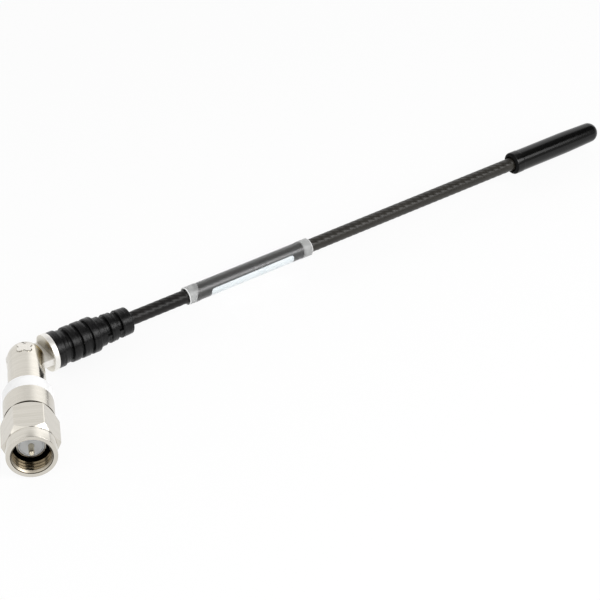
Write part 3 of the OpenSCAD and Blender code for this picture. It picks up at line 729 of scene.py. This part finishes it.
def makeBoot():
    bend = boot["round"]
    start = tongue["flangeEnd"]
    ringRadius = boot["ringWidth"] / 2
    grooveRadius = ringRadius - boot["grooveDepth"]
    landEnd = start + boot["lipLength"] + boot["landLength"]
    tailStart = landEnd + boot["rings"] * (boot["ringLength"] + boot["grooveLength"])
    tailEnd = tailStart + boot["tailLength"]
    tailPitch = (boot["tailLength"] + boot["tailGroove"] - boot["tailEndExtra"]) / boot["tailRings"]

    def tailRadius(along):
        taper = (boot["tailEndWidth"] - boot["tailWidth"]) / boot["tailLength"]
        return (boot["tailWidth"] + taper * (along - tailStart)) / 2

    def nearEdge(along, radius):
        return arc(radius - bend, along + bend, bend, -90, 0, steps=5)

    def farEdge(along, radius):
        return arc(radius - bend, along - bend, bend, 0, 90, steps=5)

    lip, land, barrel = boot["lipWidth"] / 2, boot["landWidth"] / 2, tongue["barrelWidth"] / 2 + boot["fit"]
    outline = [(barrel, start), (lip, start)] + farEdge(start + boot["lipLength"], lip)
    outline += [(land, start + boot["lipLength"] + bend)] + farEdge(landEnd, land) + [(grooveRadius, landEnd)]
    for i in range(boot["rings"]):
        along = landEnd + boot["grooveLength"] + i * (boot["ringLength"] + boot["grooveLength"])
        outline += [(grooveRadius, along)] + nearEdge(along, ringRadius)
        outline += farEdge(along + boot["ringLength"], ringRadius)
        if i < boot["rings"] - 1:
            outline += [(grooveRadius, along + boot["ringLength"])]
    webs = []
    for i in range(boot["tailRings"]):
        along = tailStart + i * tailPitch
        ends = along + tailPitch - boot["tailGroove"] if i < boot["tailRings"] - 1 else tailEnd
        if i > 0:
            outline += [(tailRadius(along) - boot["tailDepth"], along)] + nearEdge(along, tailRadius(along))
            webs.append(along - boot["tailGroove"] / 2)
        else:
            outline += [(tailRadius(along), along)]
        ripples = int((ends - along - 2 * bend) / boot["rippleLength"])
        for k in range(2 * ripples - 1):
            place = along + bend + (k + 1) * boot["rippleLength"] / 2
            outline += [(tailRadius(place) - boot["ripple"] * (1 - k % 2), place)]
        outline += farEdge(ends, tailRadius(ends))
        if i < boot["tailRings"] - 1:
            outline += [(tailRadius(along + tailPitch) - boot["tailDepth"], ends)]
    bore, barrelEnd = boot["jacketBore"] / 2, tongue["barrelEnd"] + boot["fit"]
    outline += [(bore, tailEnd), (bore, barrelEnd), (barrel, barrelEnd)]
    piece = turnOnLathe("strainReliefBoot", outline, sides=128, closed=True)
    for along in webs:
        top = tailRadius(along) - boot["webRecess"]
        low = tailRadius(along) - boot["tailDepth"] - boot["webRoot"]
        span = 2 * top * math.sin(math.radians(boot["webAngle"] / 2))
        for k in range(boot["webs"]):
            clearSelection()
            bpy.ops.mesh.primitive_cube_add(size=1, location=((top + low) / 2, along, 0))
            block = bpy.context.object
            block.scale = (top - low, boot["tailGroove"] + boot["webOverlap"], span)
            block = freshPiece("tailWeb")
            bpy.ops.object.mode_set(mode="EDIT")
            bpy.ops.mesh.select_all(action="SELECT")
            bpy.ops.mesh.bevel(offset=boot["webRound"], segments=2, affect="EDGES")
            putDown()
            block.rotation_euler = (0, math.radians(boot["webTurn"] + 360 * k / boot["webs"]), 0)
            takeInHand(block)
            bpy.ops.object.transform_apply(location=True, rotation=True, scale=True)
            combine(piece, block, "UNION")
    return finishPiece(piece, "whip", ["strain_relief_boot"], [bootRubber], onWhip=True,
                       smooth=40)


makeBoot()


# Whip jacket over the laid strands

whip = {"width": 2.34, "start": 9.02, "end": 118.2, "lay": 8.05, "strands": 6, "furrow": 0.03,
        "furrowEdge": 3, "pointsPerStrand": 8, "stepsPerTurn": 36, "shadeEnd": 54}


def makeJacket():
    points = whip["strands"] * whip["pointsPerStrand"]
    length = whip["end"] - whip["start"]
    clearSelection()
    bpy.ops.mesh.primitive_circle_add(vertices=points, radius=whip["width"] / 2, location=(0, whip["start"], 0),
                                      rotation=(-math.pi / 2, 0, 0))
    piece = freshPiece("whipJacket")
    for step in range(whip["pointsPerStrand"]):
        # sharp furrow, round ridge
        sink = abs(math.cos(math.pi * step / whip["pointsPerStrand"])) ** whip["furrowEdge"]
        scale = 1 - whip["furrow"] * sink
        pickIn(piece, "vertices", lambda v: v.index % whip["pointsPerStrand"] == step)
        bpy.ops.transform.resize(value=(scale, 1, scale), center_override=(0, whip["start"], 0))
        putDown()
    winding = piece.modifiers.new("winding", "SCREW")
    winding.axis = "Y"
    winding.angle = 2 * math.pi * length / whip["lay"]
    winding.screw_offset = length
    winding.steps = winding.render_steps = int(length / whip["lay"] * whip["stepsPerTurn"])
    winding.use_merge_vertices = False
    takeInHand(piece)
    bpy.ops.object.modifier_apply(modifier=winding.name)
    bpy.ops.object.mode_set(mode="EDIT")
    bpy.ops.mesh.select_all(action="SELECT")
    bpy.ops.mesh.fill_holes(sides=points)
    putDown()
    mergeAndFaceOut(piece)
    # painted shade: the jacket up to near the sleeve's far end gets the darker, shaded copy
    paintFaces(piece, [jacketBrown, shadedJacket], [lambda f: f.center.y < whip["shadeEnd"]])
    return finishPiece(piece, "whip", ["whip_jacket"], [], onWhip=True, smooth=60)


makeJacket()


# Clear sleeve and the blank label under it

sleeve = {"start": 30.4, "end": 55.4, "bore": 2.25, "mouthBore": 2.8, "mouthDepth": 1.6, "width": 2.96,
          "endWidth": 3.06, "endLength": 2.2, "rimLength": 0.12, "rimChamfer": 0.04, "frostLength": 1.8,
          "frostLean": 130, "nearSlant": 0.45, "farSlant": 0.1}
label = {"start": 34.8, "length": 16.7, "radius": 1.18, "thickness": 0.07, "wrap": 170, "nearAngle": 16.5,
         "farAngle": 23.5, "trim": 0.05, "cornerRound": 0.5, "cornerCuts": (15, 35, 55, 75), "steps": 60}


def makeSleeve():
    step, cut = (sleeve["endWidth"] - sleeve["width"]) / 2, sleeve["rimChamfer"]
    wide, narrow, bore = sleeve["endWidth"] / 2, sleeve["width"] / 2, sleeve["bore"] / 2
    start, end, flare = sleeve["start"], sleeve["end"], sleeve["endLength"]
    mouth, deep, edge = sleeve["mouthBore"] / 2, sleeve["mouthDepth"], sleeve["rimLength"]
    piece = turnOnLathe("labelSleeve", [
        (mouth, start), (wide - cut, start), (wide, start + cut), (wide, start + edge),
        (wide, start + flare - step), (narrow, start + flare),
        (narrow, end - flare), (wide, end - flare + step),
        (wide, end - edge), (wide, end - cut), (wide - cut, end), (mouth, end), (bore, end - deep),
        (bore, end - flare), (bore, start + flare), (bore, start + deep)], sides=96, closed=True)
    for material in (sleeveClear, sleeveFrosted, sleeveRim):
        piece.data.materials.append(material)
    piece.active_material_index = 1
    lean = math.radians(sleeve["frostLean"])
    for border, slant, side in ((start + sleeve["frostLength"], sleeve["nearSlant"], -1),
                                (end - sleeve["frostLength"], sleeve["farSlant"], 1)):
        across = Vector((-slant * math.cos(lean), 1, -slant * math.sin(lean))).normalized()
        middle = Vector((0, border, 0))
        takeInHand(piece)
        bpy.ops.object.mode_set(mode="EDIT")
        bpy.ops.mesh.select_all(action="SELECT")
        bpy.ops.mesh.bisect(plane_co=middle, plane_no=across)
        putDown()
        pickIn(piece, "polygons", lambda f: side * (f.center - middle).dot(across) > 0)
        bpy.ops.object.material_slot_assign()
        putDown()
    piece.active_material_index = 2
    pickIn(piece, "polygons", lambda f: not start + edge < f.center.y < end - edge and fromAxis(f) > mouth)
    bpy.ops.object.material_slot_assign()
    putDown()
    return finishPiece(piece, "whip", ["label_sleeve"], [], onWhip=True)


def makeLabel():
    radius, start, length = label["radius"], label["start"], label["length"]
    near, far = math.radians(label["nearAngle"]), math.radians(label["farAngle"])
    middle = (near + far) / 2
    clearSelection()
    bpy.ops.mesh.primitive_plane_add(size=1, location=(0, start + length / 2, 0))
    piece = bpy.context.object
    piece.scale = (0.1, length, 1)
    piece = freshPiece("labelStrip")
    pickIn(piece, "vertices", lambda v: v.co.x < 0)
    bpy.ops.mesh.delete(type="VERT")
    bpy.ops.mesh.select_all(action="SELECT")
    bpy.ops.transform.resize(value=(0, 1, 1), center_override=(0, start, 0))
    top = far + label["trim"]  # the slanted cut takes this off again
    bpy.ops.transform.translate(value=(radius * math.cos(top), 0, radius * math.sin(top)))
    bpy.ops.mesh.spin(steps=label["steps"], angle=math.radians(label["wrap"]) + top - middle, center=(0, 0, 0),
                      axis=(0, -1, 0), use_normal_flip=False)
    skew = Vector((radius * (math.cos(far) - math.cos(near)), length,
                   radius * (math.sin(far) - math.sin(near))))
    across = Vector((math.cos(middle), 0, math.sin(middle)))
    cut = skew.cross(across).normalized()
    bpy.ops.mesh.select_all(action="SELECT")
    bpy.ops.mesh.bisect(plane_co=(radius * math.cos(near), start, radius * math.sin(near)), plane_no=cut,
                        clear_inner=True)
    bend = label["cornerRound"]
    for edge, end, out in ((near, start, -1), (far, start + length, 1)):
        upward = Vector((-math.sin(edge), 0, math.cos(edge)))
        outward = Vector((0, out, 0))
        corner = Vector((radius * math.cos(edge), end, radius * math.sin(edge)))
        centre = corner - bend * (upward + outward)
        for turn in label["cornerCuts"]:
            away = math.cos(math.radians(turn)) * upward + math.sin(math.radians(turn)) * outward
            bpy.ops.mesh.select_all(action="SELECT")
            bpy.ops.mesh.bisect(plane_co=centre + bend * away, plane_no=away, clear_outer=True)
    putDown()
    mergeAndFaceOut(piece)
    wall = piece.modifiers.new("wall", "SOLIDIFY")
    wall.thickness = label["thickness"]
    wall.offset = 1
    takeInHand(piece)
    bpy.ops.object.modifier_apply(modifier=wall.name)
    return finishPiece(piece, "whip", ["label_strip"], [labelPaper], onWhip=True)


makeLabel()
makeSleeve()


# End cap

cap = {"start": 100.36, "end": 120.46, "lipWidth": 4.0, "lipLength": 1.9, "width": 3.88, "tipWidth": 3.56,
       "tipRound": 1.7, "taper": 6.0, "mouthWidth": 2.9, "mouthRim": 0.05, "mouthDepth": 0.6, "bore": 2.38,
       "floor": 118.22, "stepSlope": 2, "holdEdge": 0.06, "edgeLength": 0.3, "edgeLean": -0.35}


def makeCap():
    start, end = cap["start"], cap["end"]
    lip, body, tip, mouth = cap["lipWidth"] / 2, cap["width"] / 2, cap["tipWidth"] / 2, cap["mouthWidth"] / 2
    bore, bend, tipBend = cap["bore"] / 2, lip - mouth - cap["mouthRim"], cap["tipRound"]
    lipEnd = start + cap["lipLength"]
    stepStart = lipEnd - cap["stepSlope"] * (lip - body)
    # a second edge just before the step keeps the lip's shine straight
    piece = turnOnLathe("endCap", [(bore, cap["floor"]), (bore, start + cap["mouthDepth"]), (mouth, start)]
                        + arc(lip - bend, start + bend, bend, -90, 0, steps=8)
                        + [(lip, stepStart - cap["holdEdge"]), (lip, stepStart), (body, lipEnd),
                           (body, end - tipBend - cap["taper"])]
                        + arc(tip - tipBend, end - tipBend, tipBend, 0, 90, steps=14) + [(0, end)], sides=128)
    paintFaces(piece, [capBlack, capEdge], [
        lambda f: f.center.y < start + cap["edgeLength"] and f.normal.y < cap["edgeLean"]])
    return finishPiece(piece, "whip", ["end_cap"], [], onWhip=True)


makeCap()


# Nodes that stay as they are, inside the whip and the nut

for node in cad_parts:
    if node.startswith("cable_") or node == "retaining_ring":
        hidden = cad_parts[node]
        hidden.data.materials.clear()
        hidden.data.materials.append(springSteel)
print("hidden cable and ring finished")


# Floor, light and camera

studio = {"floorSize": 3.0, "floorGap": 0.00002, "floorTone": 0.9, "whiteShare": 0.9,
          "front": ((0.3, 0.4), (0.5, 0.05), (0.8, 0.05), (0.92, 0.6)),  # height and tone, from low to high
          "rear": ((0.67, 1.03), (0.79, 0.3), (0.85, 0.3), (0.93, 0.6)),
          "rearSlant": -0.6, "rearRange": (0.12, 0.42), "rightLift": 1.5, "rightRange": (0.05, 0.5)}
lamps = {"keyLamp": {"toward": (0.63, -0.5, 0.59), "distance": 0.3, "size": 0.25, "energy": 0.33},
         "fillLamp": {"toward": (-0.51, -0.60, 0.62), "distance": 0.3, "size": 0.28, "energy": 0.3}}
strip = {"place": (0.396, -0.177, 0.3), "length": 0.4, "width": 0.2, "energy": 1.04}
view = {"lens": 137.05, "place": (0.00388, -0.27108, 0.21909), "elevation": 35.61, "azimuth": -7.806,
        "nearest": 0.01}


def seenDirectly(nodes, links):
    # camera, glossy and transmission rays see the plain white
    path = nodes.new("ShaderNodeLightPath")
    total = path.outputs["Is Camera Ray"]
    for ray in ("Is Glossy Ray", "Is Transmission Ray"):
        most = nodes.new("ShaderNodeMath")
        most.operation = "MAXIMUM"
        links.new(total, most.inputs[0])
        links.new(path.outputs[ray], most.inputs[1])
        total = most.outputs[0]
    return total


def layFloor():
    clearSelection()
    bpy.ops.mesh.primitive_plane_add(size=studio["floorSize"],
                                     location=(0, 0, floorHeight - studio["floorGap"]))
    floor = freshPiece("paleFloor")
    material, nodes, links = newFinish("paleFloor")
    nodes.remove(nodes["Principled BSDF"])
    plain = nodes.new("ShaderNodeBsdfDiffuse")
    plain.inputs["Color"].default_value = (studio["floorTone"],) * 3 + (1,)
    white = nodes.new("ShaderNodeEmission")
    share = nodes.new("ShaderNodeMath")
    share.operation = "MULTIPLY"
    share.inputs[1].default_value = studio["whiteShare"]
    links.new(seenDirectly(nodes, links), share.inputs[0])
    mix = nodes.new("ShaderNodeMixShader")
    links.new(share.outputs[0], mix.inputs["Fac"])
    links.new(plain.outputs[0], mix.inputs[1])
    links.new(white.outputs[0], mix.inputs[2])
    links.new(mix.outputs[0], nodes["Material Output"].inputs["Surface"])
    floor.data.materials.append(material)


def hangLamp(name):
    toward = Vector(lamps[name]["toward"]).normalized()
    bpy.ops.object.light_add(type="AREA", location=hinge + lamps[name]["distance"] * toward,
                             rotation=(-toward).to_track_quat("-Z", "Y").to_euler())
    lamp = bpy.context.object
    lamp.name = name
    lamp.data.energy = lamps[name]["energy"]
    lamp.data.size = lamps[name]["size"]
    lamp.visible_camera = False


def hangStrip():
    # a long lamp beside the whip and parallel to it
    along = Vector((math.sin(whipTilt), math.cos(whipTilt), 0))
    away = Vector(strip["place"]) - hinge
    away = (away - away.dot(along) * along).normalized()
    turned = Matrix((along, away.cross(along), away)).transposed()
    bpy.ops.object.light_add(type="AREA", location=strip["place"], rotation=turned.to_euler())
    lamp = bpy.context.object
    lamp.name = "stripLamp"
    lamp.data.shape = "RECTANGLE"
    lamp.data.size = strip["length"]
    lamp.data.size_y = strip["width"]
    lamp.data.energy = strip["energy"]
    lamp.visible_camera = False


def heightTones(nodes, links, height, stops):
    ramp = nodes.new("ShaderNodeValToRGB")
    elements = ramp.color_ramp.elements
    while len(elements) < len(stops):
        elements.new(0.5)
    for element, (place, tone) in zip(elements, stops):
        element.position = place
        element.color = (tone, tone, tone, 1)
    links.new(height, ramp.inputs["Fac"])
    return ramp.outputs["Color"]


def lightWorld():
    # bright behind, dark above on the camera's side
    world = bpy.data.worlds.new("studio")
    bpy.context.scene.world = world
    world.use_nodes = True
    nodes, links = world.node_tree.nodes, world.node_tree.links
    coordinates = nodes.new("ShaderNodeTexCoord")
    parts = nodes.new("ShaderNodeSeparateXYZ")
    links.new(coordinates.outputs["Generated"], parts.inputs[0])
    front = heightTones(nodes, links, parts.outputs["Z"], studio["front"])
    rear = heightTones(nodes, links, parts.outputs["Z"], studio["rear"])
    depth = nodes.new("ShaderNodeMapRange")
    depth.interpolation_type = "SMOOTHSTEP"
    depth.inputs["From Min"].default_value, depth.inputs["From Max"].default_value = studio["rearRange"]
    slanted = nodes.new("ShaderNodeMath")
    slanted.operation = "MULTIPLY_ADD"
    slanted.inputs[1].default_value = studio["rearSlant"]
    links.new(parts.outputs["X"], slanted.inputs[0])
    links.new(parts.outputs["Y"], slanted.inputs[2])
    links.new(slanted.outputs[0], depth.inputs["Value"])
    side = nodes.new("ShaderNodeMapRange")
    side.interpolation_type = "SMOOTHSTEP"
    side.inputs["From Min"].default_value, side.inputs["From Max"].default_value = studio["rightRange"]
    side.inputs["To Min"].default_value = 1.0
    side.inputs["To Max"].default_value = studio["rightLift"]
    links.new(parts.outputs["X"], side.inputs["Value"])
    lifted = nodes.new("ShaderNodeMath")
    lifted.operation = "MULTIPLY"
    links.new(rear, lifted.inputs[0])
    links.new(side.outputs[0], lifted.inputs[1])
    tone = nodes.new("ShaderNodeMix")
    links.new(depth.outputs[0], tone.inputs[0])
    links.new(front, tone.inputs[2])
    links.new(lifted.outputs[0], tone.inputs[3])
    links.new(tone.outputs[0], nodes["Background"].inputs["Strength"])
    nodes["Background"].inputs["Color"].default_value = (1, 1, 1, 1)


def setCamera():
    bpy.ops.object.camera_add(location=view["place"], rotation=(
        math.radians(90 - view["elevation"]), 0, math.radians(view["azimuth"])))
    camera = bpy.context.object
    camera.name = "photoCamera"
    camera.data.lens = view["lens"]
    camera.data.clip_start = view["nearest"]
    bpy.context.scene.camera = camera


layFloor()
for name in lamps:
    hangLamp(name)
hangStrip()
lightWorld()
setCamera()
bpy.context.scene.view_settings.view_transform = "Standard"
print("studio ready")
